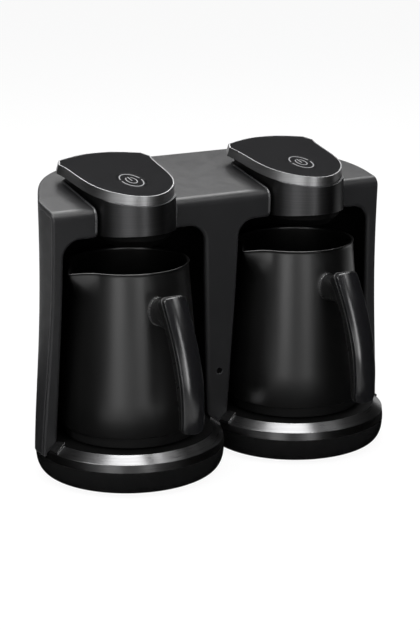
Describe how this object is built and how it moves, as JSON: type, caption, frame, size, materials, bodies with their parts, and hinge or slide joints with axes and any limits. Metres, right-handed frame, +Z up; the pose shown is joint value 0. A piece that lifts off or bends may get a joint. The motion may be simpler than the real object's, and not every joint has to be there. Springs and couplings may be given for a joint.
{
  "type": "electric turkish coffee maker",
  "caption": "Twin electric Turkish coffee maker with tilted brushed heads, power buttons, round bases with metal trim and lift-out black pots with long curved handles",
  "frame": {"origin": "on the floor under the middle of the footprint's bounding box", "axes": "+Z up, -Y to the front where the handles point, +X to the right seen from the front"},
  "size_m": [0.2638, 0.1654, 0.2101],
  "materials": {
    "satin_black": "satin",
    "black_plastic": "matt",
    "gloss_black": "gloss",
    "dark_steel": "dark brushed metal",
    "bright_steel": "brushed metal",
    "black_coating": "satin black non-stick coating on steel",
    "aluminium": "bare",
    "brass": "bare",
    "rubber": "matt",
    "board_green": "solder mask",
    "icon_grey": "printed grey, translucent",
    "lens": "dark red filter"
  },
  "bodies": {
    "casing": {"front_cover": "satin_black", "rear_shell": "satin_black", "base_pan": "gloss_black", "rubber_feet": "rubber", "base_screws": "bright_steel", "power_board": "board_green", "board_standoffs": "black_plastic", "relays": "black_plastic", "terminal_block": "board_green", "cord_gland": "black_plastic", "column_screw": "bright_steel", "base_ring_left": "dark_steel", "platform_left": "black_plastic", "niche_liner_left": "black_plastic", "connector_block_left": "black_plastic", "contact_pins_left": "brass", "head_body_left": "dark_steel", "head_band_left": "bright_steel", "head_plate_left": "gloss_black", "control_board_left": "board_green", "tact_switch_left": "black_plastic", "sensor_pod_left": "black_plastic", "sensor_lens_left": "lens", "base_ring_right": "dark_steel", "platform_right": "black_plastic", "niche_liner_right": "black_plastic", "connector_block_right": "black_plastic", "contact_pins_right": "brass", "head_body_right": "dark_steel", "head_band_right": "bright_steel", "head_plate_right": "gloss_black", "control_board_right": "board_green", "tact_switch_right": "black_plastic", "sensor_pod_right": "black_plastic", "sensor_lens_right": "lens"},
    "pot_left": {"pot_body_left": "black_coating", "pot_base_left": "black_plastic", "heater_plate_left": "aluminium", "contact_sleeves_left": "brass", "handle_cover_left": "gloss_black", "handle_grip_left": "black_plastic", "handle_bracket_left": "bright_steel", "handle_screw_left": "bright_steel"},
    "button_left": {"power_button_left": "gloss_black", "power_icon_left": "icon_grey"},
    "pot_right": {"pot_body_right": "black_coating", "pot_base_right": "black_plastic", "heater_plate_right": "aluminium", "contact_sleeves_right": "brass", "handle_cover_right": "gloss_black", "handle_grip_right": "black_plastic", "handle_bracket_right": "bright_steel", "handle_screw_right": "bright_steel"},
    "button_right": {"power_button_right": "gloss_black", "power_icon_right": "icon_grey"}
  },
  "joints": [
    {"name": "pot_left_lift_out", "type": "slide", "parent": "casing", "child": "pot_left", "axis": [0, -1, 0], "range_m": [0, 0.16]},
    {"name": "power_button_left_press", "type": "slide", "parent": "casing", "child": "button_left", "axis": [0, 0.168, -0.9858], "range_m": [0, 0.0008], "stiffness_N_per_m": 900, "springref_m": -0.0008},
    {"name": "pot_right_lift_out", "type": "slide", "parent": "casing", "child": "pot_right", "axis": [0, -1, 0], "range_m": [0, 0.16]},
    {"name": "power_button_right_press", "type": "slide", "parent": "casing", "child": "button_right", "axis": [0, 0.168, -0.9858], "range_m": [0, 0.0008], "stiffness_N_per_m": 900, "springref_m": -0.0008}
  ]
}
